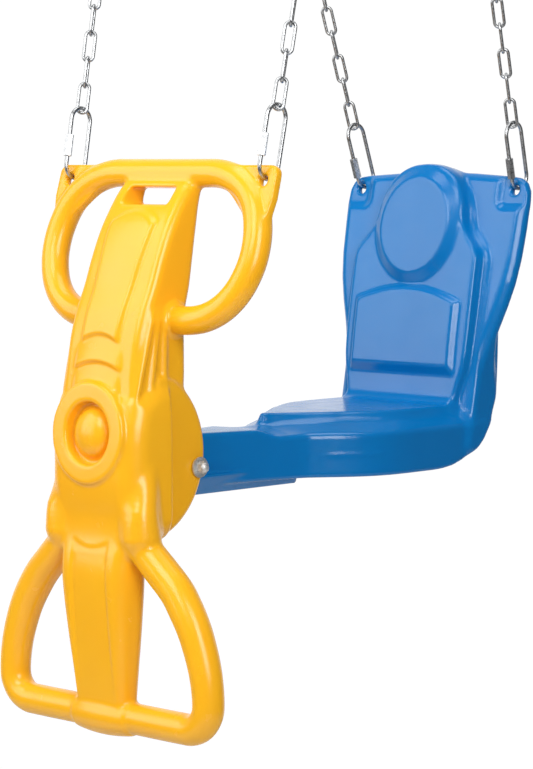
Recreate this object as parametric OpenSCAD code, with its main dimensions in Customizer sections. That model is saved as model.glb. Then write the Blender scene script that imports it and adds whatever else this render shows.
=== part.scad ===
// Glider swing: a straddle seat with a handlebar column, hung on four chains.
// Lengths in millimetres. +Z up, the rider faces -Y, symmetric about X = 0.
// The origin is the centre of the four hangers, level with the tops of their collars.

/* [Hanging points of the glider] */
// Half the distance between the two front chain holes
front_hole_x = 161.5; // [150:0.5:175]
// Half the distance between the two rear chain holes
rear_hole_x = 129.5; // [120:0.5:140]
// Distance from the front holes back to the rear holes
rear_hole_y = 488; // [470:1:505]
// How far the rear holes sit below the front holes
rear_hole_drop = 14; // [8:1:20]
// Diameter of the four chain holes
hole_d = 13; // [12:0.1:14]
// Chamfer round both ends of a chain hole
hole_flare = 2; // [1:0.5:3]

/* [Chains] */
// Number of links in each front chain
front_links = 5; // [5:2:9]
// Number of links in each rear chain
rear_links = 7; // [7:2:11]
// Diameter of the chain wire
chain_wire = 4; // [3.5:0.1:4.2]
// Inside length of one chain link
link_inner = 32.2; // [30:0.1:36]
// Outside width of one chain link
link_width = 16; // [15:0.5:18]
// Backward lean of the front chains, run over rise
front_lean = 0.192; // [0.15:0.002:0.22]
// Forward lean of the rear chains, run over rise
rear_lean = 0.29; // [0.26:0.002:0.32]
// Outward lean of the front chains, run over rise
front_splay = 0.03; // [0:0.005:0.05]
// Outward lean of the rear chains, run over rise
rear_splay = 0.06; // [0.02:0.005:0.08]

/* [Quick links] */
// Diameter of the quick link wire
ql_wire = 5; // [4.5:0.1:5.5]
// Length of a quick link between the centres of its end wires
ql_len = 85; // [80:1:92]
// Distance between the two legs of a quick link
ql_gap = 30; // [28:0.5:32]
// Length of the sleeve nut
sleeve_len = 26; // [24:0.5:30]
// Width of the sleeve nut across its flats
sleeve_af = 9; // [8:0.5:10]

/* [Hangers] */
// Diameter of the eye bolt stud
stud_d = 8; // [6:1:10]
// Length of the stud above its collar
stud_len = 40; // [30:1:50]
// Drop from the top of the collar to the bottom wire of a rear eye
eye_drop = 34; // [30:1:45]

/* [Front column] */
// Wall thickness of the moulding
column_wall = 4; // [3:0.5:5]
// Half the width of the column
column_x = 60; // [55:1:64]
// Half the width of the belly at its front half
belly_x = 74; // [70:1:76]
// Half the width of the belly where the bolt passes
cheek_x = 66; // [62:1:68]
// Radius of the handle tube
handle_r = 16.5; // [15:0.5:18]
// Radius of the bend of the handle loops
handle_bend = 86; // [80:1:90]
// Radius of the footrest tube
foot_r = 18; // [16:0.5:19]
// Thickness of the ears that hold the chain holes
ear_t = 12; // [10:1:14]

/* [Seat] */
// Wall thickness of the moulding
seat_wall = 4.5; // [3:0.5:5.5]
// Half the width of the beam where it enters the column
beam_x = 20; // [18:1:26]
// Half the width of the seat at the back
seat_x = 112; // [105:1:116]
// Half the width of the back at the ears
back_x = 152; // [148:1:154]

/* [Main bolt] */
// Diameter of the bolt that joins the column and the seat
bolt_d = 8; // [8:1:12]
// Diameter of its washers
washer_d = 24; // [20:1:26]

/* [Hidden] */
sides = [["left", -1], ["right", 1]];
$fn = 48;

yellow = [1, 0.69, 0.1];
blue = [0.05, 0.4, 0.72];
zinc = [0.74, 0.76, 0.78];

// Play between two pieces of wire that hook into each other. A chain link hooks into a quick
// link at a slant, so it needs more.
play = 0.3;
slant_play = 1.2;
link_yaw = 38;
// Radial clearance of a sleeve nut on its leg, and of the bolt in its holes.
sleeve_play = 0.08;
bolt_play = 0.4;

// The glider is drawn about the middle of its two front chain holes.
// The plates round the holes lean back: each lies at y0 to y1 in a plane tilted about X.
handle_tilt = 15.6;
handle_y = 5.5;
front_ear = [-ear_t / 2, ear_t / 2];
front_hole_z = -0.8;
back_tilt = 11.6;
back_y = rear_hole_y + 1.5;
rear_ear = [1, ear_t];
rear_hole_z = 0.2 - rear_hole_drop;

// The bow of a quick link rests on both edges of its hole and turns about its own centre.
// This is the height of that centre over the hole's centre, less a little slack.
bow_r = ql_gap / 2;
function bow_height(ear, slack) = hole_d / 2 - slack
    + sqrt(pow(bow_r - ql_wire / 2, 2) - pow((ear[1] - ear[0]) / 2 - hole_flare, 2));
function tilted(y0, tilt, y, z) = [y0 + y * cos(tilt) + z * sin(tilt), z * cos(tilt) - y * sin(tilt)];
front_bow = tilted(handle_y, handle_tilt, (front_ear[0] + front_ear[1]) / 2,
                   front_hole_z + bow_height(front_ear, 0.4));
rear_bow = tilted(back_y, back_tilt, (rear_ear[0] + rear_ear[1]) / 2,
                  rear_hole_z + bow_height(rear_ear, 0.8));

// A hanging line starts at the lowest wire of its quick link and runs up its chain.
front_run = [front_splay, front_lean, 1];
rear_run = [rear_splay, -rear_lean, 1];
front_start = [front_hole_x + 0.2, front_bow[0], front_bow[1]] - bow_r * unit(front_run);
rear_start = [rear_hole_x + 0.4, rear_bow[0], rear_bow[1]] - bow_r * unit(rear_run);

// Distances along a hanging line, from the middle of the wire that passes through the hole.
hook_ql = (ql_wire + chain_wire) / 2 + slant_play;
link_step = link_inner - 0.2;
chain_from = ql_len - hook_ql;
function chain_to(n) = chain_from + (n - 1) * link_step + link_inner + chain_wire;
function top_link_from(n) = chain_to(n) - hook_ql;
eye_wire = 8;
function eye_at(n) = top_link_from(n) + ql_len - (ql_wire + eye_wire) / 2 - play;

function unit(v) = v / norm(v);
function along(start, run, s) = start + unit(run) * s;

front_eye = along(front_start, front_run, eye_at(front_links));
rear_eye = along(rear_start, rear_run, eye_at(rear_links));

// The row's origin, seen from the middle of the front chain holes.
origin = [0, (front_eye[1] + rear_eye[1]) / 2, rear_eye[2] + eye_drop];

// The bolt's place in the glider, in Y and Z.
bolt_at = [-6, -330];

// The beam's end in the column's rear pocket, its height, and the gap around it.
beam_end = -60;
beam_z = [-372.5, -297];
beam_gap = 0.5;

// Heights of the seat's underside and of its raised top.
under_z = -360;
seat_top = -282.5;

// Points on a curve: a circular arc, and a quadratic Bezier curve.
function arc(c, r, a0, a1, n = 10) = [for (i = [0:n]) let (a = a0 + (a1 - a0) * i / n)
    [c[0] + r * cos(a), c[1] + r * sin(a)]];
function bezier(p, q, r, n = 8) = [for (i = [0:n]) let (t = i / n)
    (1 - t) * (1 - t) * p + 2 * t * (1 - t) * q + t * t * r];

// A flat outline in Y and Z, given a width in X.
module side_prism(half_width, outline) {
    translate([-half_width, 0, 0])
        rotate([90, 0, 90])
            linear_extrude(2 * half_width)
                polygon(outline);
}

// A flat outline in X and Z, given a thickness from y0 to y1.
module front_plate(y0, y1, outline) {
    translate([0, y1, 0])
        rotate([90, 0, 0])
            linear_extrude(y1 - y0)
                polygon(outline);
}

// A round bar along X.
module bar_x(x0, x1, r) {
    translate([x0, 0, 0])
        rotate([0, 90, 0])
            cylinder(h = x1 - x0, r = r);
}

// Part of a ring of round bar in the XZ plane, from angle a0 turning through a.
module ring_xz(r_bend, r, a0, a) {
    rotate([90, 0, 0])
        rotate([0, 0, a0])
            rotate_extrude(angle = a, $fn = 96)
                translate([r_bend, 0])
                    circle(r = r);
}

module both_sides() {
    children();
    mirror([1, 0, 0]) children();
}

// A pair of holes through plates at y = ear[0] to ear[1], chamfered at both ends.
module chain_holes(x, z, ear) {
    r = hole_d / 2;
    both_sides() translate([x, 0, z]) rotate([-90, 0, 0]) {
        translate([0, 0, ear[0] - 1]) cylinder(h = ear[1] - ear[0] + 2, r = r);
        translate([0, 0, ear[0] - 1]) cylinder(h = hole_flare + 1, r1 = r + hole_flare + 1, r2 = r);
        translate([0, 0, ear[1] - hole_flare])
            cylinder(h = hole_flare + 1, r1 = r, r2 = r + hole_flare + 1);
    }
}

module glider_frame() {
    translate(-origin) children();
}

// ---- Front column ----

// Side outline of the column from the handlebar down to the bottom of the belly.
function column_outline(w) = concat(
    [[-8 + w, 1]],
    bezier([-19 + w, -9], [-84 + w, -127], [-101 + w, -240]),
    bezier([-103 + w, -244], [-119 + w, -262], [-120 + w, -290], 5),
    [[-129 + w, -380], [-126 + w, -425 + w]],
    [[-72, -425 + w]],
    arc([-90, -312], 99 - w, -76, 44, 14),
    [[-19 - w, -215], [-19 - w, -180], [-5 - w, -90], [8 - w, 1]]);

// Side outline of the front half of the belly, which bulges past the column.
function belly_outline(w) = [
    [-98 + w, -246 - w], [-108 + w, -275], [-113 + w, -380], [-106 + w, -418 + w],
    [-62 - w, -418 + w], [-50 - w, -300], [-52 - w, -246 - w]];

// Side outline of the rear half of the belly, which holds the beam's end.
function cheek_outline(w) = concat(
    [[-70 + w, -414 + w]],
    arc([-90, -312], 99 - w, -74, 44, 14),
    [[-70 + w, -232 - w]]);

// Side and front outlines of the stem between the belly and the foot bar.
function stem_outline(w) = [
    [-122 + w, -415], [-110 + w, -605], [-74 - w, -605], [-66 - w, -415]];
function stem_front(w) = [
    [-51 + w, -415], [-37 + w, -605], [37 - w, -605], [51 - w, -415]];

// Side outline of the raised panel down the column's front.
function panel_outline() = concat(
    bezier([-32, -30], [-86, -135], [-107, -240]),
    [[-95, -240], [-25, -36]]);

panel_x = 33;
disc_at = [-287, -124];
disc_r = 59;
window_x = 40;
window_z = [-28, -8];
handle_x = 80;
handle_z = 8.3;
foot_y = -89;
foot_z = -615;
foot_bend = 176;
foot_corner = 30;
foot_x = 165;
foot_boss_x = 45;

// Half the outline of an ear, in the plane of the handles.
ear_outline = concat(
    [[100, 2], [100, 17.5]],
    arc([170, 5.5], 12, 90, 0, 6),
    [[182, -22], [172, -50], [150, -45]]);

module handle_plane() {
    translate([0, handle_y, 0])
        rotate([-handle_tilt, 0, 0])
            children();
}

// Handlebar and both handle loops, as one bent tube of radius r.
module handles(r) {
    handle_plane() both_sides() {
        translate([0, 0, handle_z]) bar_x(0, handle_x, r);
        translate([handle_x, 0, handle_z - handle_bend]) ring_xz(handle_bend, r, -90, 180);
        translate([0, 0, handle_z - 2 * handle_bend]) bar_x(column_x - 8, handle_x, r);
    }
}

// Foot bar and both foot loops, as one bent tube of radius r.
module foot_tubes(r) {
    translate([0, foot_y, 0]) both_sides() {
        translate([0, 0, foot_z]) bar_x(0, foot_x - foot_corner, r);
        translate([foot_x - foot_corner, 0, foot_z + foot_corner]) ring_xz(foot_corner, r, -90, 90);
        translate([foot_x - foot_bend, 0, foot_z + foot_corner]) ring_xz(foot_bend, r, 0, 68);
    }
}

module stem(w) {
    intersection() {
        side_prism(60, stem_outline(w));
        front_plate(-140, -60, stem_front(w));
    }
}

// The walls around the beam's end, and the bosses that the bolt clamps.
module column_pocket(w) {
    side = beam_x + beam_gap + w;
    translate([-side, beam_end - beam_gap - w, beam_z[0] - beam_gap - w])
        cube([2 * side, 90, beam_z[1] - beam_z[0] + 2 * (beam_gap + w)]);
}

module bolt_boss(r, half_width) {
    translate([0, bolt_at[0], bolt_at[1]]) bar_x(-half_width, half_width, r);
}

module column_skin(w) {
    side_prism(column_x - w, column_outline(w));
    side_prism(belly_x - w, belly_outline(w));
    side_prism(cheek_x - w, cheek_outline(w));
    stem(w);
}

// The round boss on the belly, with a dome in a ring.
module disc() {
    translate([0, 0, disc_at[0]]) rotate([90, 0, 0]) {
        translate([0, 0, 100]) cylinder(h = -disc_at[1] - 104, r = disc_r);
        translate([0, 0, 100]) cylinder(h = -disc_at[1] - 102, r = 30);
        translate([0, 0, 100]) rotate_extrude() translate([36, 0]) square([18, -disc_at[1] - 100]);
    }
}

module front_column() {
    color(yellow) glider_frame() difference() {
        union() {
            difference() {
                union() {
                    column_skin(0);
                    handles(handle_r);
                    foot_tubes(foot_r);
                    handle_plane() both_sides() front_plate(front_ear[0], front_ear[1], ear_outline);
                    side_prism(panel_x, panel_outline());
                    disc();
                    translate([0, foot_y, foot_z - 2]) bar_x(-foot_boss_x, foot_boss_x, foot_r + 3.5);
                }
                difference() {
                    union() {
                        intersection() {
                            column_skin(column_wall);
                            translate([-100, -150, -600]) cube([200, 200, 565]);
                        }
                        handles(handle_r - column_wall);
                        foot_tubes(foot_r - column_wall);
                    }
                    column_pocket(column_wall);
                    bolt_boss(13, belly_x);
                }
            }
        }
        // The rear pocket, the bolt's hole, the chain holes and the window under the handlebar.
        column_pocket(0);
        bolt_boss(bolt_d / 2 + bolt_play, belly_x + 1);
        handle_plane() chain_holes(front_hole_x, front_hole_z, front_ear);
        translate([-window_x, -60, window_z[0]]) cube([2 * window_x, 90, window_z[1] - window_z[0]]);
    }
}

// ---- Seat ----

// Side outline of the beam and the seat, with the round corner under the back.
function seat_outline(w) = concat(
    [[beam_end + w, under_z + w], [beam_end + w, beam_z[1] - w]],
    bezier([388, beam_z[1] - w], [414, -293 - w], [421 + w, -255 - w], 4),
    [[478 - w, -255 - w], [474 - w, -271]],
    arc([384, -270], 90 - w, -5, -90, 8));

// Outline of the beam and the seat from above, in X and Y.
function seat_plan(w) = concat(
    [[beam_x - w, beam_end + w], [beam_x - w, 30]],
    [[31 - w, 80], [39 - w, 114], [47 - w, 149], [56 - w, 183]],
    bezier([56 - w, 183], [76 - w, 205], [96 - w, 240], 4),
    bezier([96 - w, 240], [110 - w, 262], [seat_x - w, 290], 3),
    [[seat_x - w, 480 - w]]);

// Outline of the raised top of the seat from above, with its narrow nose.
function nose_plan(w) = concat(
    bezier([0, 161 + w], [8 - w, 161 + w], [13 - w, 180], 3),
    [[50 - w, 232], [76 - w, 279]],
    bezier([76 - w, 279], [88 - w, 304], [89 - w, 340], 3),
    [[89 - w, 425], [0, 425]]);

// Side outline of the rail along the underside of the beam.
function rail_outline(w) = concat(
    [[beam_end + w, under_z + 6], [beam_end + w, beam_z[0] + w], [204, beam_z[0] + w]],
    bezier([204, beam_z[0] + w], [218 - w, beam_z[0] + 2 + w], [224 - w, under_z + 6], 4));

function mirrored(outline) = concat(outline, [for (i = [len(outline) - 1:-1:0])
    [-outline[i][0], outline[i][1]]]);

// Half outline of the back's flat wing, in its own plane.
function wing_outline(w) = concat(
    [[0, 10 - w]],
    [[120, 4 - w]],
    arc([back_x - 18, -14], 18 - w, 80, 0, 6),
    [[back_x - w, -82], [145 - w, -133], [128 - w, -194], [seat_x + 3 - w, -262],
     [seat_x - w, -292], [0, -292]]);

// Half outline of the thick body of the back, narrow round the head and wide at the shoulders.
function body_outline(w) = concat(
    bezier([0, 12 - w], [52 - w, 12 - w], [67 - w, -46], 6),
    bezier([71 - w, -64], [78 - w, -80], [104 - w, -104], 4),
    [[104 - w, -312], [0, -312]]);

// Side outline of the thick body, in the plane of the back: front face, then rear face.
function depth_outline(w) = [
    [-22 + w, 30], [-15 + w, -312], [10, -312], [38 - w, -285], [36 - w, -190], [16 - w, 30]];

// Side outline of the wing, in the plane of the back: it gets deeper towards the seat.
function wing_depth(w) = [
    [-20, 40], [-20, -300], [38 - w, -300], [34 - w, -200],
    [rear_ear[1] - w, -40], [rear_ear[1] - w, 40]];

// Outlines of the two raised pads, in the plane of the back.
wing_y = -3;
pad_y = -29;
function head_outline(w) = [for (a = [0:10:350]) [(67 - w) * sin(a), (77 - w) * cos(a) - 67]];
function pad_outline(w) = concat(
    bezier([0, -143 - w], [60, -145 - w], [86 - w, -162 - w]),
    [[88 - w, -252 + w], [0, -252 + w]]);

module back_plane() {
    translate([0, back_y, 0])
        rotate([-back_tilt, 0, 0])
            children();
}

module back_solid(w) {
    back_plane() {
        intersection() {
            front_plate(-60, 80, mirrored(body_outline(w)));
            side_prism(120, depth_outline(w));
        }
        intersection() {
            front_plate(wing_y + w, 40 - w, mirrored(wing_outline(w)));
            side_prism(200, wing_depth(w));
        }
        front_plate(pad_y + w, 0, head_outline(w));
        front_plate(pad_y + w, 0, mirrored(pad_outline(w)));
    }
}

module seat_solid(w) {
    intersection() {
        translate([0, 0, -400]) linear_extrude(200) polygon(mirrored(seat_plan(w)));
        side_prism(200, seat_outline(w));
    }
    translate([0, 0, -320]) linear_extrude(320 + seat_top - w) polygon(mirrored(nose_plan(w)));
    side_prism(beam_x - w, rail_outline(w));
}

// The recess in front of the thin corner that each rear chain hole passes through.
module ear_pocket() {
    back_plane() both_sides() translate([106, -30, -38]) cube([80, 30 + rear_ear[0], 80]);
}

module seat() {
    color(blue) glider_frame() difference() {
        union() {
            seat_solid(0);
            back_solid(0);
        }
        difference() {
            union() {
                seat_solid(seat_wall);
                back_solid(seat_wall);
            }
            bolt_boss(13, beam_x);
            back_plane() both_sides() translate([102, -30, -42]) cube([80, 70, 80]);
        }
        ear_pocket();
        bolt_boss(bolt_d / 2 + bolt_play, beam_x + 1);
        back_plane() chain_holes(rear_hole_x, rear_hole_z, rear_ear);
    }
}

// ---- Main bolt ----

washer_t = 2;
head_t = 5.3;
head_af = 13;
bolt_reach = cheek_x + washer_t;

module hexagon(af, h) {
    cylinder(h = h, d = af / cos(30), $fn = 6);
}

module on_bolt_axis(x) {
    glider_frame() translate([x, bolt_at[0], bolt_at[1]]) rotate([0, 90, 0]) children();
}

module main_bolt() {
    color(zinc) on_bolt_axis(-bolt_reach) {
        translate([0, 0, -head_t]) hexagon(head_af, head_t);
        cylinder(h = 2 * bolt_reach + 8, d = bolt_d);
    }
}

module bolt_washer(side) {
    x = side < 0 ? -bolt_reach : cheek_x;
    color(zinc) on_bolt_axis(x) difference() {
        cylinder(h = washer_t, d = washer_d);
        translate([0, 0, -1]) cylinder(h = washer_t + 2, d = bolt_d + 0.1);
    }
}

// A domed nut with a blind hole that takes the end of the bolt.
module cap_nut() {
    color(zinc) on_bolt_axis(bolt_reach) difference() {
        union() {
            hexagon(head_af, 6.5);
            intersection() {
                translate([0, 0, 4.5]) sphere(r = 6.4);
                cylinder(h = 12, r = 7);
            }
        }
        translate([0, 0, -1]) cylinder(h = 9.4, d = bolt_d + 0.1);
    }
}

// ---- Hanging lines ----

// Draws its children with +Z along a hanging line and +X across the glider, at a distance s up it.
module hang(side, start, run, s) {
    lean = atan(run[1] / run[2]);
    splay = asin(unit(run)[0]);
    at = along(start, run, s);
    glider_frame() translate([side * at[0], at[1], at[2]])
        rotate([-lean, 0, 0])
            rotate([0, side * splay, 0])
                children();
}

// One long link standing on the middle of its lower end wire, in the XZ plane.
module chain_link() {
    bend = (link_width - chain_wire) / 2;
    leg = link_inner + chain_wire - 2 * bend;
    both_sides() translate([bend, 0, bend]) cylinder(h = leg, d = chain_wire);
    translate([0, 0, bend]) ring_xz(bend, chain_wire / 2, 180, 180);
    translate([0, 0, bend + leg]) ring_xz(bend, chain_wire / 2, 0, 180);
}

module chain(side, start, run, links) {
    color(zinc) hang(side, start, run, chain_from)
        for (i = [0:links - 1])
            translate([0, 0, i * link_step])
                rotate([0, 0, link_yaw + 90 * (i % 2)])
                    chain_link();
}

// Quick link in the YZ plane, standing on the middle of its lower end wire. Its front leg has a
// gap that the sleeve nut closes; sleeve_z is where the sleeve starts.
module quick_link(sleeve_z) {
    bend = ql_gap / 2;
    leg = ql_len - 2 * bend;
    gap_len = 8;
    gap_z = sleeve_z + 4;
    rotate([0, 0, 90]) {
        translate([bend, 0, bend]) cylinder(h = leg, d = ql_wire);
        translate([0, 0, bend]) ring_xz(bend, ql_wire / 2, 180, 180);
        translate([0, 0, bend + leg]) ring_xz(bend, ql_wire / 2, 0, 180);
        translate([-bend, 0, bend]) cylinder(h = gap_z - bend, d = ql_wire);
        translate([-bend, 0, gap_z + gap_len]) cylinder(h = bend + leg - gap_z - gap_len, d = ql_wire);
    }
}

module sleeve_nut(sleeve_z) {
    bore = ql_wire / 2 + sleeve_play;
    translate([0, -ql_gap / 2, sleeve_z]) difference() {
        intersection() {
            hexagon(sleeve_af, sleeve_len);
            union() {
                translate([0, 0, 1]) cylinder(h = sleeve_len - 2, r = sleeve_af);
                cylinder(h = 1, r1 = sleeve_af / 2, r2 = sleeve_af / 2 + 1);
                translate([0, 0, sleeve_len - 1])
                    cylinder(h = 1, r1 = sleeve_af / 2 + 1, r2 = sleeve_af / 2);
            }
        }
        translate([0, 0, -1]) cylinder(h = sleeve_len + 2, r = bore);
    }
}

front_sleeve_z = 24;
rear_sleeve_z = 17;

// Eye bolt: its ring lies across the glider, its collar rests against whatever its stud goes into.
ring_r = 12;
neck_d = 10;
collar_d = 20;
collar_t = 3;
module eye_bolt(side, eye) {
    top = origin[2] - eye[2];
    color(zinc) glider_frame() translate([side * eye[0], eye[1], eye[2]]) {
        translate([0, 0, ring_r]) ring_xz(ring_r, eye_wire / 2, 0, 360);
        translate([0, 0, 2 * ring_r + 1]) cylinder(h = top - 2 * ring_r - 1, d = neck_d);
        translate([0, 0, top - collar_t]) cylinder(h = collar_t, d = collar_d);
        translate([0, 0, top]) cylinder(h = stud_len, d = stud_d);
    }
}

front_column();
seat();
main_bolt();
cap_nut();

for (s = sides) {
    bolt_washer(s[1]);
}

for (s = sides) {
    for (line = [["front", front_start, front_run, front_links, front_sleeve_z, front_eye],
                 ["rear", rear_start, rear_run, rear_links, rear_sleeve_z, rear_eye]]) {
        name = str(line[0], "_", s[0]);
        top = top_link_from(line[3]);
        chain(s[1], line[1], line[2], line[3]);
        color(zinc) hang(s[1], line[1], line[2], 0) quick_link(line[4]);
        color(zinc) hang(s[1], line[1], line[2], 0) sleeve_nut(line[4]);
        color(zinc) hang(s[1], line[1], line[2], top) quick_link(front_sleeve_z);
        color(zinc) hang(s[1], line[1], line[2], top) sleeve_nut(front_sleeve_z);
        eye_bolt(s[1], line[5]);
    }
}
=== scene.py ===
"""Glider swing: two blow-moulded shells and their zinc-plated hardware, around the CAD frame."""

import math

import bpy
import numpy as np
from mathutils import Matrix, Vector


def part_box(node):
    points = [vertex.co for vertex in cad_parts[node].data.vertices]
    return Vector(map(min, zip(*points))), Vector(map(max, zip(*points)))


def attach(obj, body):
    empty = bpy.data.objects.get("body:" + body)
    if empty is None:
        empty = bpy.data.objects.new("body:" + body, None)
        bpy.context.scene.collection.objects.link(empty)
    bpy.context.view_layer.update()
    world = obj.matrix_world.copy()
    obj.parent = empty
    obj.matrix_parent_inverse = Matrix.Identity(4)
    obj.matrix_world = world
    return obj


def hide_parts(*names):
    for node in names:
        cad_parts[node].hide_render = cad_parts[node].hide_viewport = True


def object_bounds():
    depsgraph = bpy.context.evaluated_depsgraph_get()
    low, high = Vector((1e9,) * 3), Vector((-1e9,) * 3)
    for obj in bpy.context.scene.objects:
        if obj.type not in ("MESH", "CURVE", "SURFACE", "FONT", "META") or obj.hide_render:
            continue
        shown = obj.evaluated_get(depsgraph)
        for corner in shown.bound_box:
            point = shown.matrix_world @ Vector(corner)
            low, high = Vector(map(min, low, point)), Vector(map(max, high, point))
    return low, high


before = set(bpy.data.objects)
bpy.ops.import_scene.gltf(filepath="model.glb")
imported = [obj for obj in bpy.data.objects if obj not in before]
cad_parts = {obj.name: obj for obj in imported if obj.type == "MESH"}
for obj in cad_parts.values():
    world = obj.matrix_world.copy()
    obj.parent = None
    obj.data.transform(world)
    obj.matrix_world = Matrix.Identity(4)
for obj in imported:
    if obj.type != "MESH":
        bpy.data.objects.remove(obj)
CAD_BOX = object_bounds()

import openvdb
from mathutils import Vector

MM = 0.001

# Grid steps of the distance fields, in millimetres
COLUMN_VOXEL = 1.9
SEAT_VOXEL = 2.0
FAR = 60

# The glider's own origin is midway between its front chain holes. The main bolt lies in front
# of it and below it. All shapes below are in millimetres about this origin.
BOLT_AHEAD = 6
BOLT_BELOW = 330
BOLT_HOLE_R = 4.6
LOW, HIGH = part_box("main_bolt")
ORIGIN = Vector((0, (LOW.y + HIGH.y) / 2 + BOLT_AHEAD * MM, (LOW.z + HIGH.z) / 2 + BOLT_BELOW * MM))

CHAIN_HOLE_R = 6.5
CHAIN_HOLE_FLARE = 0.8

CAMERA_AZIMUTH = math.radians(44)
CAMERA_ELEVATION = math.radians(4.61)
CAMERA_LENS = 129.3
CAMERA_RIGHT = 0.1206
CAMERA_DOWN = 0.2376
CAMERA_DISTANCE = 3.2089

FLOOR_DROP = 0.8
FLOOR_SIZE = 4


# ---------------------------------------------------------------------------
# Camera, floor and light
# ---------------------------------------------------------------------------

def add_camera():
    """Looks at the front right of the glider, nearly level, with a long lens."""
    azimuth, elevation = CAMERA_AZIMUTH, CAMERA_ELEVATION
    right = Vector((math.cos(azimuth), math.sin(azimuth), 0))
    back = Vector((math.sin(azimuth) * math.cos(elevation),
                   -math.cos(azimuth) * math.cos(elevation), math.sin(elevation)))
    up = back.cross(right)
    camera = bpy.data.objects.new("camera", bpy.data.cameras.new("camera"))
    bpy.context.scene.collection.objects.link(camera)
    camera.data.lens = CAMERA_LENS
    camera.data.sensor_width = 36
    camera.data.clip_end = 50
    camera.location = ORIGIN + right * CAMERA_RIGHT - up * CAMERA_DOWN + back * CAMERA_DISTANCE
    camera.rotation_euler = back.to_track_quat("Z", "Y").to_euler()
    bpy.context.scene.camera = camera
    return right, back


def add_area_light(name, place, target, size, power):
    """A rectangular soft box that faces target."""
    light = bpy.data.lights.new(name, "AREA")
    light.shape = "RECTANGLE"
    light.size, light.size_y = size
    light.energy = power
    lamp = bpy.data.objects.new(name, light)
    bpy.context.scene.collection.objects.link(lamp)
    lamp.location = place
    lamp.rotation_euler = (Vector(place) - Vector(target)).to_track_quat("Z", "Y").to_euler()


def add_studio(right, back):
    """Pale floor, a light tent that is brightest behind the glider, and four soft boxes."""
    floor_z = CAD_BOX[0][2] - FLOOR_DROP
    bpy.ops.mesh.primitive_plane_add(size=FLOOR_SIZE, location=(0, 0, floor_z))
    floor = bpy.context.object
    floor.name = "floor"
    floor.data.materials.append(plain_material("floor_white", (0.8, 0.8, 0.8), 0.9))

    world = bpy.data.worlds.new("studio")
    bpy.context.scene.world = world
    bpy.context.scene.view_settings.view_transform = "Standard"
    world.use_nodes = True
    tree = world.node_tree
    direction = tree.nodes.new("ShaderNodeTexCoord")
    facing = tree.nodes.new("ShaderNodeVectorMath")
    facing.operation = "DOT_PRODUCT"
    facing.inputs[1].default_value = -back
    glow = tree.nodes.new("ShaderNodeMapRange")
    glow.interpolation_type = "SMOOTHSTEP"
    limits = {"From Min": 0.3, "From Max": 0.9, "To Min": 0.1, "To Max": 1.02}
    for name, value in limits.items():
        glow.inputs[name].default_value = value
    tree.links.new(direction.outputs["Generated"], facing.inputs[0])
    tree.links.new(facing.outputs["Value"], glow.inputs["Value"])
    # The camera sees a white backdrop on every side, though the tent is dim on most of them
    rays = tree.nodes.new("ShaderNodeLightPath")
    seen = tree.nodes.new("ShaderNodeMath")
    seen.operation = "MAXIMUM"
    tree.links.new(glow.outputs["Result"], seen.inputs[0])
    tree.links.new(rays.outputs["Is Camera Ray"], seen.inputs[1])
    tree.links.new(seen.outputs["Value"], tree.nodes["Background"].inputs["Strength"])
    tree.nodes["Background"].inputs["Color"].default_value = (1, 1, 1, 1)

    middle = ORIGIN + Vector((0, 0.15, -0.25))
    top = Vector((0, 0, 1))
    add_area_light("key", middle + back * 1.8 - right * 1.2 + top * 1.6, middle, (1.2, 1.6), 30)
    add_area_light("left", middle - right * 2.1 + back * 0.4 + top * 0.8, middle, (1.6, 2.0), 27)
    add_area_light("side", middle + Vector((2.2, -1.2, 0.9)), middle, (1.0, 1.8), 40)
    add_area_light("overhead", middle + top * 2.2, middle, (1.6, 1.6), 22)


# ---------------------------------------------------------------------------
# Materials
# ---------------------------------------------------------------------------

def plain_material(name, colour, roughness):
    """One colour and one roughness."""
    material = bpy.data.materials.new(name)
    material.use_nodes = True
    shader = material.node_tree.nodes["Principled BSDF"]
    shader.inputs["Base Color"].default_value = (*colour, 1)
    shader.inputs["Roughness"].default_value = roughness
    return material


class Nodes:
    """Short names for building a material's nodes."""

    def __init__(self, material):
        self.tree = material.node_tree
        self.shader = self.tree.nodes["Principled BSDF"]

    def add(self, kind):
        return self.tree.nodes.new(kind)

    def link(self, out, into):
        self.tree.links.new(out, into)

    def noise(self, scale, detail=2.0, roughness=0.5, stretch=(1, 1, 1)):
        place = self.add("ShaderNodeTexCoord")
        mapping = self.add("ShaderNodeMapping")
        mapping.inputs["Scale"].default_value = stretch
        self.link(place.outputs["Object"], mapping.inputs["Vector"])
        noise = self.add("ShaderNodeTexNoise")
        noise.inputs["Scale"].default_value = scale
        noise.inputs["Detail"].default_value = detail
        noise.inputs["Roughness"].default_value = roughness
        self.link(mapping.outputs["Vector"], noise.inputs["Vector"])
        return noise.outputs["Fac"]

    def ramp(self, fac, low, high, from_low=0.3, from_high=0.7):
        """fac between from_low and from_high, turned into a value between low and high."""
        node = self.add("ShaderNodeMapRange")
        node.inputs["From Min"].default_value = from_low
        node.inputs["From Max"].default_value = from_high
        node.inputs["To Min"].default_value = low
        node.inputs["To Max"].default_value = high
        self.link(fac, node.inputs["Value"])
        return node.outputs["Result"]

    def mix(self, fac, first, second):
        node = self.add("ShaderNodeMix")
        node.data_type = "RGBA"
        node.inputs["A"].default_value = (*first, 1)
        node.inputs["B"].default_value = (*second, 1)
        self.link(fac, node.inputs["Factor"])
        return node.outputs["Result"]

    def bump(self, height, strength, distance, under=None):
        """Bumps of a height, on top of the bumps under them if there are any."""
        node = self.add("ShaderNodeBump")
        node.inputs["Strength"].default_value = strength
        node.inputs["Distance"].default_value = distance
        self.link(height, node.inputs["Height"])
        if under is not None:
            self.link(under, node.inputs["Normal"])
        return node.outputs["Normal"]


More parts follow.
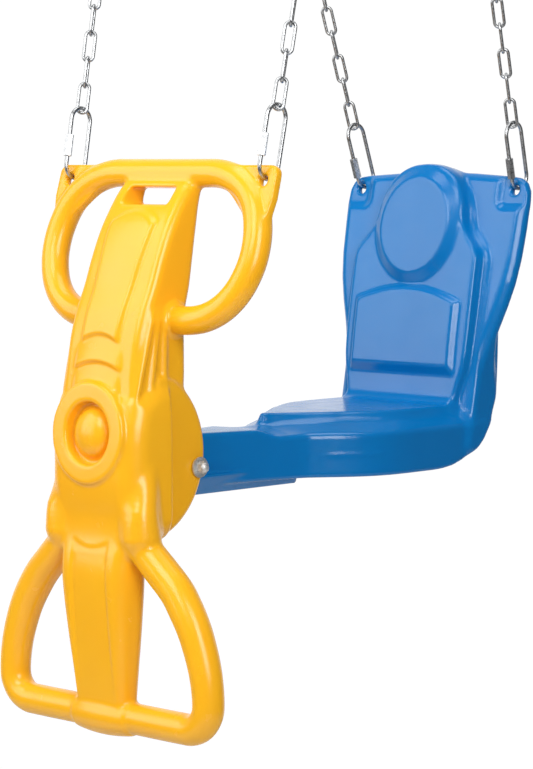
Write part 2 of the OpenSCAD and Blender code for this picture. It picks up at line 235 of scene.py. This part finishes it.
def moulded_plastic(name, base, deep, gloss):
    """Glossy blow-moulded polyethylene: slight colour drift, faint flow waves and fine grain."""
    material = plain_material(name, base, gloss)
    nodes = Nodes(material)
    shader = nodes.shader
    drift = nodes.ramp(nodes.noise(6, 3), 0, 1)
    nodes.link(nodes.mix(drift, base, deep), shader.inputs["Base Color"])
    nodes.link(nodes.ramp(nodes.noise(35, 4), gloss * 0.85, gloss * 1.25), shader.inputs["Roughness"])
    waves = nodes.bump(nodes.noise(14, 1, stretch=(1, 1, 0.5)), 0.12, 0.002)
    grain = nodes.bump(nodes.noise(900, 2), 0.05, 0.0002, under=waves)
    nodes.link(grain, shader.inputs["Normal"])
    shader.inputs["IOR"].default_value = 1.5
    shader.inputs["Subsurface Weight"].default_value = 0.08
    shader.inputs["Subsurface Radius"].default_value = (0.006, 0.004, 0.002)
    shader.inputs["Subsurface Scale"].default_value = 1.0
    return material


def zinc_plate(name, tint=(0.56, 0.57, 0.58), roughness=0.3):
    """Bright zinc plate: cloudy spangle, small tarnish spots and fine drawing marks."""
    material = plain_material(name, tint, roughness)
    nodes = Nodes(material)
    shader = nodes.shader
    shader.inputs["Metallic"].default_value = 1.0
    dark = tuple(c * 0.72 for c in tint)
    spangle = nodes.ramp(nodes.noise(220, 4, 0.6), 0, 1, 0.35, 0.65)
    nodes.link(nodes.mix(spangle, tint, dark), shader.inputs["Base Color"])
    tarnish = nodes.ramp(nodes.noise(400, 3), roughness * 0.7, roughness * 1.5)
    nodes.link(tarnish, shader.inputs["Roughness"])
    nodes.link(nodes.bump(nodes.noise(700, 3), 0.15, 0.0002), shader.inputs["Normal"])
    return material


# ---------------------------------------------------------------------------
# Solid shapes as distance fields, in millimetres about the glider's origin
# ---------------------------------------------------------------------------

class Field:
    """Signed distances on a grid over the half x >= 0 of a piece that mirrors about x = 0."""

    def __init__(self, low, high, voxel):
        axes = [np.arange(a, b + voxel, voxel, dtype=np.float32) for a, b in zip(low, high)]
        self.low, self.voxel = low, voxel
        self.x = axes[0][:, None, None]
        self.y = axes[1][None, :, None]
        self.z = axes[2][None, None, :]
        self.d = np.full([len(a) for a in axes], FAR, np.float32)

    def near(self, low, high):
        """The part of the grid between two corners, as slices and as its x, y and z."""
        cut = []
        for axis, (a, b) in enumerate(zip(low, high)):
            count = self.d.shape[axis]
            first = int(np.clip((a - self.low[axis]) // self.voxel, 0, count - 1))
            last = int(np.clip((b - self.low[axis]) // self.voxel + 2, first + 1, count))
            cut.append(slice(first, last))
        return tuple(cut), self.x[cut[0]], self.y[:, cut[1]], self.z[:, :, cut[2]]

    def add(self, shape, fillet=0.0):
        """Joins a shape to the piece."""
        self.d = round_min(self.d, shape, fillet)

    def cut(self, shape, rounding=0.0):
        """Takes a shape out of the piece."""
        self.d = round_max(self.d, -shape, rounding)

    def add_tube(self, path, radius, fillet):
        """A round tube along a path of points, whose radius may change from point to point."""
        path = np.array(path, float)
        radius = np.broadcast_to(np.asarray(radius, float), (len(path),))
        reach = radius.max() + fillet + 6
        cut, x, y, z = self.near(path.min(0) - reach, path.max(0) + reach)
        shape = np.full(self.d[cut].shape, FAR, np.float32)
        for a, b, ra, rb in zip(path, path[1:], radius, radius[1:]):
            run = b - a
            along = ((x - a[0]) * run[0] + (y - a[1]) * run[1] + (z - a[2]) * run[2]) / (run @ run)
            along = np.clip(along, 0, 1)
            away = np.sqrt((x - a[0] - along * run[0]) ** 2 + (y - a[1] - along * run[1]) ** 2
                           + (z - a[2] - along * run[2]) ** 2)
            shape = np.minimum(shape, away - ra - along * (rb - ra))
        self.d[cut] = round_min(self.d[cut], shape, fillet)

    def cut_bolt_hole(self):
        """Drills the hole for the main bolt, from side to side."""
        self.cut(np.hypot(self.y + BOLT_AHEAD, self.z + BOLT_BELOW) - BOLT_HOLE_R)

    def mesh(self, name):
        """Both halves as one closed mesh, in metres in the shared frame."""
        whole = np.concatenate([self.d[:0:-1], self.d], axis=0)
        # Even out the steps of the grid
        for axis in range(3):
            ahead, behind = np.roll(whole, 1, axis), np.roll(whole, -1, axis)
            whole = 0.5 * whole + 0.25 * (ahead + behind)
        band = 3 * self.voxel
        grid = openvdb.FloatGrid()
        grid.background = band
        grid.gridClass = openvdb.GridClass.LEVEL_SET
        grid.copyFromArray(np.ascontiguousarray(np.clip(whole, -band, band), dtype=np.float32))
        points, triangles, quads = grid.convertToPolygons(isovalue=0.0, adaptivity=0.0)
        half = self.d.shape[0] - 1
        offset = np.array([-half * self.voxel, self.low[1], self.low[2]])
        points = (points * self.voxel + offset) * MM + np.array(ORIGIN)
        faces = quads.tolist() + triangles.tolist()
        data = bpy.data.meshes.new(name)
        data.from_pydata([tuple(p) for p in points], [], faces)
        data.validate()
        data.shade_smooth()
        piece = bpy.data.objects.new(name, data)
        bpy.context.scene.collection.objects.link(piece)
        return piece


def round_max(a, b, r):
    """Where both shapes are, with the edge between them rounded."""
    if r <= 0:
        return np.maximum(a, b)
    return np.minimum(np.maximum(a, b), -r) + np.hypot(np.maximum(a + r, 0), np.maximum(b + r, 0))


def round_min(a, b, r):
    """Where either shape is, with a fillet between them."""
    if r <= 0:
        return np.minimum(a, b)
    return np.maximum(np.minimum(a, b), r) - np.hypot(np.maximum(r - a, 0), np.maximum(r - b, 0))


def curve(at, points):
    """A smooth curve through (place, value) points that never overshoots them."""
    place, value = np.array(sorted(points), float).T
    gaps = np.diff(place)
    rises = np.diff(value) / gaps
    turning = rises[:-1] * rises[1:] <= 0
    before, after = gaps[:-1] + 2 * gaps[1:], 2 * gaps[:-1] + gaps[1:]
    safe = np.where(turning, 1, rises[:-1] * rises[1:])
    inner = np.where(turning, 0, 3 * (gaps[:-1] + gaps[1:]) * safe
                     / np.where(turning, 1, after * rises[:-1] + before * rises[1:]))
    slope = np.concatenate([rises[:1], inner, rises[-1:]])
    i = np.clip(np.searchsorted(place, at) - 1, 0, len(place) - 2)
    gap = place[i + 1] - place[i]
    s = np.clip((at - place[i]) / gap, 0, 1)
    found = ((2 * s ** 3 - 3 * s ** 2 + 1) * value[i] + (s ** 3 - 2 * s ** 2 + s) * gap * slope[i]
             + (3 * s ** 2 - 2 * s ** 3) * value[i + 1] + (s ** 3 - s ** 2) * gap * slope[i + 1])
    return found.astype(np.float32)


def path_through(points, steps=8):
    """Smooth path through a list of 2-D or 3-D points."""
    points = np.array(points, float)
    ends = np.vstack([2 * points[0] - points[1], points, 2 * points[-1] - points[-2]])
    found = []
    for p, q, r, s in zip(ends, ends[1:], ends[2:], ends[3:]):
        for t in np.arange(steps) / steps:
            found.append(0.5 * (2 * q + (r - p) * t + (2 * p - 5 * q + 4 * r - s) * t ** 2
                                + (3 * q - p - 3 * r + s) * t ** 3))
    return np.array(found + [points[-1]])


def outline_distance(u, v, outline):
    """Signed distance in a plane to a closed outline, negative inside."""
    outline = np.array(outline, float)
    nearest = np.full(np.broadcast(u, v).shape, 1e9, np.float32)
    inside = np.zeros(nearest.shape, bool)
    for (au, av), (bu, bv) in zip(outline, np.roll(outline, -1, axis=0)):
        eu, ev = bu - au, bv - av
        length = eu * eu + ev * ev
        if length < 1e-9:
            continue
        t = np.clip(((u - au) * eu + (v - av) * ev) / length, 0, 1)
        nearest = np.minimum(nearest, (u - au - t * eu) ** 2 + (v - av - t * ev) ** 2)
        if abs(ev) > 1e-9:
            crosses = ((av <= v) != (bv <= v)) & (u < au + (v - av) * eu / ev)
            inside = inside ^ crosses
    nearest = np.sqrt(nearest)
    return np.where(inside, -nearest, nearest)


def step(distance, width):
    """1 well inside a shape and 0 well outside it, with a smooth slope of that width between."""
    s = np.clip(0.5 - distance / width, 0, 1)
    return s * s * (3 - 2 * s)


def incline(distance, width):
    """1 inside a shape and 0 outside it, with a straight slope of that width between."""
    return np.clip(0.5 - distance / width, 0, 1)


def hump(distance, width):
    """1 at distance 0, falling smoothly to 0 at half the width on either side."""
    s = np.clip(1 - np.abs(distance) * 2 / width, 0, 1)
    return s * s * (3 - 2 * s)


# ---------------------------------------------------------------------------
# Front column
# ---------------------------------------------------------------------------

HANDLE_TILT = math.radians(15.6)
HANDLE_Y = 5.5
FOOT_Y = -89


def on_handle_plane(x, v):
    """The point at x and v up the plane that the handles lie in."""
    return (x, HANDLE_Y + v * math.sin(HANDLE_TILT), v * math.cos(HANDLE_TILT))


def column_front(x, z):
    """How far forward the front face of the column, belly and stem stands."""
    front = curve(z, [(30, -2), (10, -4), (2, -8), (-4, -13), (-9, -18), (-30, -33), (-60, -50),
                      (-90, -63), (-120, -74), (-150, -87), (-180, -96), (-210, -101), (-240, -105)])
    return front - 3 * (1 - (x / 60) ** 2) * np.clip((-z - 8) / 40, 0, 1)


def belly_front(x, z):
    """How far forward the front face of the belly stands."""
    front = curve(z, [(-215, -88), (-235, -104), (-250, -111), (-265, -115), (-280, -118.5), (-300, -120),
                      (-340, -120), (-360, -118), (-380, -114.5), (-400, -112), (-425, -110)])
    return front - 1.5 * (1 - (x / 60) ** 2)


def column_relief(x, z):
    """The raised panel, the two overlapping crescents below it and the swell over the disc."""
    half = curve(z, [(-34, 36), (-48, 36), (-107, 32), (-175, 29.5)])
    first = z + 175 + 8 * (x / 30) ** 2
    second = z + 206 + 9 * (x / 38) ** 2
    arch = (z + 34 + 14 * (x / 36) ** 2) * 0.8
    panel = step(np.maximum(np.maximum(x - half, arch), -first), 4) * 4.8
    strip = step(x - 37, 9)
    upper = np.clip(-first / 31, 0, 1) * step(-second, 3) * (first < 0) * 5.5 * strip
    lower = np.clip(-second / 26, 0, 1) * (second < 0) * 4.5 * strip
    return panel + upper + lower


def side_ribs(y, z):
    """Three long ribs that fan down the side of the column."""
    lift = 0
    for top_y, low_y in ((-73, -99), (-65, -79), (-57, -58)):
        middle = top_y + (low_y - top_y) * (-146 - z) / 90
        lift = lift + 4.2 * hump(y - middle, 16) * step(z + 150, 24)
    return lift


def column_shape(field):
    """The column above the belly, with the opening under the handlebar."""
    x, y, z = field.x, field.y, field.z
    front = column_front(x, z) - column_relief(x, z)
    rear = curve(z, [(30, 12), (4, 14), (-30, 6), (-60, 0), (-90, -5), (-120, -10), (-150, -17),
                     (-180, -19), (-215, -19), (-260, -22)])
    half = curve(z, [(20, 57), (-30, 59), (-60, 60), (-150, 60.5), (-225, 61), (-260, 62)])
    slope = np.sqrt(1 + np.gradient(column_front(0, z).ravel(), field.voxel) ** 2)[None, None, :]
    shape = round_max((front - y) / slope, y - rear, 6)
    sides = x - half - side_ribs(y, z)
    shape = round_max(shape, sides, 11)
    shape = round_max(shape, z - 5, 2)
    shape = round_max(shape, -300 - z, 4)
    field.add(shape)

    window = round_max(x - 39, np.maximum(z + 8, -28 - z), 5)
    field.cut(window, 2.5)


def belly_shape(field):
    """The belly: a front half, and a rear half that holds the beam's end."""
    x, y, z = field.x, field.y, field.z
    # Front half
    outline = path_through([(-100, -240), (-88, -231), (-76, -225), (-61, -223), (-37, -216),
                            (-21, -213)], 5)
    lower = path_through([(-20, -380), (-44, -402), (-64, -414), (-118, -428), (-150, -432)], 5)
    loop = np.vstack([[(-150, -262), (-112, -246)], outline, [(-20, -213)], lower])
    profile = outline_distance(y, z, loop)
    front = belly_front(x, z)
    shape = round_max(profile, front - y, 5)
    half = curve(z, [(-215, 70), (-245, 73), (-270, 75), (-300, 75.5), (-390, 75.5), (-415, 72)])
    part = y + 56
    shape = round_max(shape, x - half + 0.04 * np.maximum(-part, 0), 27)
    shape = round_max(shape, part, 3)
    field.add(shape, 3)

    # Rear half
    rear = np.hypot(y + 90, z + 312) - 99
    cheek = round_max(rear, -y - 75, 3)
    cheek = round_max(cheek, z + 213 - 0.1 * (y + 20), 14)
    cheek = round_max(cheek, x - 66 + 0.05 * (y + 55), 9)
    field.add(cheek, 3)


def disc_shape(field):
    """The round boss: a flat ring with a dome in a hollow."""
    lean = math.radians(3.5)
    middle_y, middle_z = -121, -287
    cut, x, y, z = field.near((0, -140, -360), (75, -90, -215))
    up = (z - middle_z) * math.cos(lean) + (y - middle_y) * math.sin(lean)
    out = (y - middle_y) * math.cos(lean) - (z - middle_z) * math.sin(lean)
    around = np.hypot(x, up)
    ring = round_max(around - 59, -out - 1.5, 2.5)
    ring = round_max(ring, out - 20, 1)
    field.d[cut] = round_min(field.d[cut], ring, 2)
    groove = np.hypot(around - 60.5, out + 1.5) - 1.8
    field.d[cut] = round_max(field.d[cut], -groove, 1)
    hollow = round_max(around - 36, -out - 30, 2)
    hollow = round_max(hollow, out - 12, 4)
    field.d[cut] = round_max(field.d[cut], -hollow, 2.5)
    dome = np.sqrt((around / 29) ** 2 + ((out - 12) / 16) ** 2)
    dome = (dome - 1) * 15
    field.d[cut] = round_min(field.d[cut], dome, 2.5)


def handle_shape(field):
    """Handlebar, handle loops and the ears with the chain holes."""
    loop = [(0, 8.3), (60, 8.3), (84, 8.1), (104, 4.6), (125, -3.5), (143, -17), (156, -35),
            (164, -58), (166.3, -80), (163.5, -102), (153.5, -126), (136, -146), (113, -159),
            (88, -164.5), (62, -165), (40, -165)]
    path = [on_handle_plane(u, v) for u, v in path_through(loop, 4)]
    field.add_tube(path, 16.5, 5)

    # Collar where each loop meets the side of the column, with its small gusset
    cut, x, y, z = field.near((50, -80, -200), (85, 10, -115))
    around = np.hypot(y + 38.5, z + 158.5)
    collar = round_max(around - 21, x - 63.5, 2)
    gusset = np.maximum(np.abs(y + 38) - 0.45 * (-130 - z), -150 - z)
    gusset = round_max(gusset, x - 60 - 0.12 * (-130 - z), 1.5)
    field.d[cut] = round_min(field.d[cut], collar, 1.5)
    field.d[cut] = round_min(field.d[cut], np.maximum(gusset, 40 - x), 1.5)

    # Ears
    cut, x, y, z = field.near((90, -30, -75), (190, 30, 30))
    v = (y - HANDLE_Y) * math.sin(HANDLE_TILT) + z * math.cos(HANDLE_TILT)
    w = (y - HANDLE_Y) * math.cos(HANDLE_TILT) - z * math.sin(HANDLE_TILT)
    arc = [(170 + 11 * math.sin(a), 6.5 + 11 * math.cos(a)) for a in np.radians(range(0, 91, 15))]
    outline = [(95, 0), (102, 17.5), *arc, (181.5, -22), (178, -42), (170, -60), (150, -50)]
    ear = round_max(outline_distance(x, v, outline), np.abs(w) - 6, 2)
    field.d[cut] = round_min(field.d[cut], ear, 2.5)
    hole = np.hypot(x - 161.5, v + 0.8)
    flare = np.maximum(np.abs(w) - 4, 0)
    field.d[cut] = round_max(field.d[cut], CHAIN_HOLE_R + flare * CHAIN_HOLE_FLARE - hole, 1)


def add_tapered_tube(field, points, radius, fillet, steps=4):
    """A tube through points, with one radius given for each of them."""
    count = np.linspace(0, len(points) - 1, (len(points) - 1) * steps + 1)
    radii = np.interp(count, range(len(points)), radius)
    field.add_tube(path_through(points, steps), radii, fillet)


def foot_shape(field):
    """Stem, foot bar and foot loops."""
    x, y, z = field.x, field.y, field.z
    front = curve(z, [(-390, -110), (-412, -116), (-425, -120.5), (-450, -123), (-480, -121.5), (-510, -119),
                      (-540, -116), (-570, -113), (-610, -109)])
    half = curve(z, [(-400, 56), (-450, 55), (-510, 50.5), (-570, 44), (-620, 39)])
    groove = 1.6 * hump(x - 27 + 0.02 * (z + 420), 5) * step(z + 430, 10)
    lip = 2.2 * step(z + 417 - 7 * (x / 30) ** 2, 2.5) * step(x - 29, 3)
    stem = round_max(front + 2.5 * (x / 50) ** 2 + groove + lip - y, y + 74, 7)
    stem = round_max(stem, x - half + 0.10 * np.abs(y + 90), 14)
    stem = round_max(stem, np.maximum(z + 385, -618 - z), 6)
    field.add(stem, 8)

    # Legs that swell out of the belly and turn into the foot loops
    swell = [(66, -88, -326), (66.5, -93, -352), (65.5, -98, -378), (64.5, -97, -402)]
    add_tapered_tube(field, swell, [4, 12.5, 19.5, 23], 9)
    leg = [(64, -94, -414), (88, -91, -437), (113, FOOT_Y, -460), (128.5, FOOT_Y, -480),
           (141, FOOT_Y, -500), (150, FOOT_Y, -520), (157, FOOT_Y, -540), (161.5, FOOT_Y, -560),
           (163.5, FOOT_Y, -580), (162, FOOT_Y, -594), (153, FOOT_Y, -607), (139, FOOT_Y, -614),
           (120, FOOT_Y, -615), (40, FOOT_Y, -615), (0, FOOT_Y, -615)]
    radius = [19, 20, 20.2, 20.2, 19.8, 19.4, 19, 18.6, 18.3, 18.2, 18.1, 18, 18, 18, 18]
    add_tapered_tube(field, leg, radius, 4)
    boss = round_max(np.hypot(y + 90, z + 616) - 23 + 4 * (x / 44) ** 2, x - 44, 1)
    field.add(boss, 3)


def build_column():
    """The yellow moulding, in place of the CAD column."""
    field = Field((0, -136, -644), (190, 36, 32), COLUMN_VOXEL)
    column_shape(field)
    belly_shape(field)
    disc_shape(field)
    handle_shape(field)
    foot_shape(field)
    # Rear pocket for the beam
    x, y, z = field.x, field.y, field.z
    pocket = np.maximum(np.maximum(x - 20.5, -60.5 - y), np.maximum(z + 296.5, -373 - z))
    field.cut(pocket, 1.5)
    field.cut_bolt_hole()
    column = field.mesh("column_moulding")
    column.data.materials.append(YELLOW)
    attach(column, "glider")
    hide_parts("front_column")


# ---------------------------------------------------------------------------
# Seat
# ---------------------------------------------------------------------------

BACK_TILT = math.radians(11.6)
BACK_Y = 489.5


def seat_width(y):
    """Half the width of the beam and the seat between their two side walls."""
    return curve(y, [(-60, 20), (20, 20), (41, 22), (80, 31), (114, 39), (149, 47), (183, 56), (200, 67),
                     (223, 84), (245, 97.5), (266, 106), (290, 110.5), (320, 112), (480, 112)])


def seat_shape(field):
    """Narrow beam that flares into the seat, with a raised saddle-nosed top."""
    x, y, z = field.x, field.y, field.z
    half = seat_width(y)
    inner = curve(y, [(165, 0), (174, 8), (198, 25), (232, 49), (276, 74), (304, 87), (343, 90), (480, 90)])
    foot = curve(y, [(-60, -297), (120, -297), (160, -296), (185, -293), (230, -290.5), (480, -290)])
    crease = curve(y, [(-60, -297), (115, -297.5), (150, -307), (480, -307.5)])
    outward = np.clip((x - inner) / (half - inner), 0, 1)
    skirt = foot + (crease - foot) * outward
    nose = path_through([(-20, 163), (0, 163), (6, 166), (11, 177), (25, 198), (49, 232), (57, 247),
                         (74, 276), (85, 303), (90, 340), (90, 420), (90, 520)], 4)
    raised = outline_distance(x, y, np.vstack([nose, [(-20, 520)]]))
    lift = np.where(raised < 4, step(raised, 5), 0)
    top = skirt + (-282.8 - skirt) * lift + 2.2 * hump(np.maximum(raised - 2, 0), 14) * (1 - lift)
    shape = round_max(z - top, -359.5 - z, 4)
    weld = 1.0 * hump(z + 332, 5) * step(np.abs(y - 236) - 30, 6)
    shape = round_max(shape, (x - half - weld) * 0.9, 3.5)
    shape = round_max(shape, -60 - y, 2)
    field.add(round_max(shape, y - 476, 3))

    # Flat rail along the underside
    rail = round_max(-372 - z, (x - 15 - 0.9 * (z + 372)) * 0.74, 3)
    rail = round_max(rail, np.maximum(y - 214 + 0.6 * (z + 372), -60 - y), 7)
    field.add(np.maximum(rail, z + 345), 1)


def back_frame(y, z):
    """How far up and how far behind the plane of the back each point is."""
    v = (y - BACK_Y) * math.sin(BACK_TILT) + z * math.cos(BACK_TILT)
    w = (y - BACK_Y) * math.cos(BACK_TILT) - z * math.sin(BACK_TILT)
    return v, w


def back_shape(field):
    """The back with its pads and ears, and the corner where it meets the seat."""
    cut, x, y, z = field.near((0, 350, -372), (160, 540, 30))
    v, w = back_frame(y, z)

    # Wing: a shallow shell with a sloped rim
    wing = [(0, 10), (60, 8), (118, 4.5), (134, 2.5), (144, -3), (150, -14), (151.5, -30), (150.5, -60),
            (148.5, -100), (144, -133), (136.5, -162), (127, -192), (119, -222), (113, -250), (112, -290),
            (112, -340), (0, -340)]
    rim = outline_distance(x, v, wing)
    rear = curve(v, [(20, 14), (-40, 14), (-100, 20), (-160, 28), (-215, 37), (-260, 46), (-300, 60)])
    shallow = np.minimum(rear, 15 + 1.1 * np.maximum(-rim - 7, 0) + np.maximum(-200 - v, 0) * 0.4)
    shape = round_max(rim, w - shallow, 5)
    slope = (rim + 9 - (w + 5)) / math.sqrt(2)
    shape = round_max(shape, -w - 5, 2)
    shape = round_max(shape, slope, 2)

    # Body: stands forward of the wing
    body = path_through([(-30, 13), (0, 13.5), (24, 10.5), (45, 0), (58, -15), (66.5, -34), (70.5, -52),
                         (75, -67), (84, -80), (95, -92), (101, -103), (102, -120), (102, -200), (100, -240),
                         (94, -265), (90, -290), (90, -340)], 5)
    wide = path_through([(-30, 9), (0, 9.5), (28, 6), (51, -5), (65, -20), (74, -40), (78, -55), (83, -67),
                         (92, -79), (103, -91), (109, -103), (110, -120), (110, -200), (110, -340)], 5)
    wide = np.vstack([wide, [(0, -340), (-30, -340)]])
    body = np.vstack([body, [(0, -340), (-30, -340)]])
    edge = outline_distance(x, v, body)
    stand = curve(v, [(20, -25.5), (-100, -24.5), (-200, -21), (-260, -17), (-330, -15)])
    head = (np.hypot(x / 62.5, (v + 66) / 69) - 1) * 63
    lift = 9 * incline(head, 14)
    pad_top = -141 - 19 * (x / 88) ** 2
    pad = np.maximum(np.maximum(x - 84, v - pad_top + 5), (-251 - v) * 0.6)
    lift = np.maximum(lift, 9 * incline(pad, 7))
    block = round_max(edge - 3 * np.clip((w - stand) / 14, 0, 1), stand - lift - w, 4)
    ledge = round_max(outline_distance(x, v, wide) - 2, stand + 15 - w, 4)
    block = round_min(block, ledge, 3)
    block = round_max(block, w - rear, 5)
    shape = round_min(shape, block, 4)

    # Recessed ears round the chain holes
    recess = round_max(104 - x, -42 - v, 15)
    shape = round_max(shape, -round_max((recess + (w + 5) * 1.6) / 1.9, w - 1.2, 1), 1)
    hole = np.hypot(x - 129.5, v + 13.8)
    flare = np.maximum(np.abs(w - 7) - 4, 0)
    shape = round_max(shape, CHAIN_HOLE_R + flare * CHAIN_HOLE_FLARE - hole, 1)
    field.d[cut] = round_min(field.d[cut], shape, 14)

    # Round corner that the seat's underside and the back share
    corner = [(300, -390), (345, -368), (370, -361), (396, -356), (412, -351), (428.5, -343.5),
              (441, -335.5), (450, -327), (467, -302.5), (477, -275), (481, -254), (486, -215),
              (560, 100), (300, 100)]
    field.d[cut] = round_max(field.d[cut], outline_distance(y, z, corner), 3.5)


def build_seat():
    """The blue moulding, in place of the CAD seat."""
    field = Field((0, -64, -372), (156, 520, 30), SEAT_VOXEL)
    seat_shape(field)
    back_shape(field)
    field.cut_bolt_hole()
    seat = field.mesh("seat_moulding")
    seat.data.materials.append(BLUE)
    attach(seat, "glider")
    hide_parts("seat")


# ---------------------------------------------------------------------------
# The scene
# ---------------------------------------------------------------------------

YELLOW = moulded_plastic("yellow_polyethylene", (1.0, 0.50, 0.015), (1.0, 0.46, 0.01), 0.22)
BLUE = moulded_plastic("blue_polyethylene", (0.0, 0.18, 0.51), (0.0, 0.165, 0.48), 0.2)
ZINC = zinc_plate("zinc_plate")
SATIN_ZINC = zinc_plate("satin_zinc_plate", (0.8, 0.8, 0.79), 0.5)

camera_right, camera_back = add_camera()
add_studio(camera_right, camera_back)
build_column()
build_seat()
for name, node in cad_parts.items():
    finish = {"front_column": YELLOW, "seat": BLUE}.get(name, ZINC)
    if name in ("main_bolt", "cap_nut") or name.startswith("bolt_washer"):
        finish = SATIN_ZINC
    node.data.materials.clear()
    node.data.materials.append(finish)
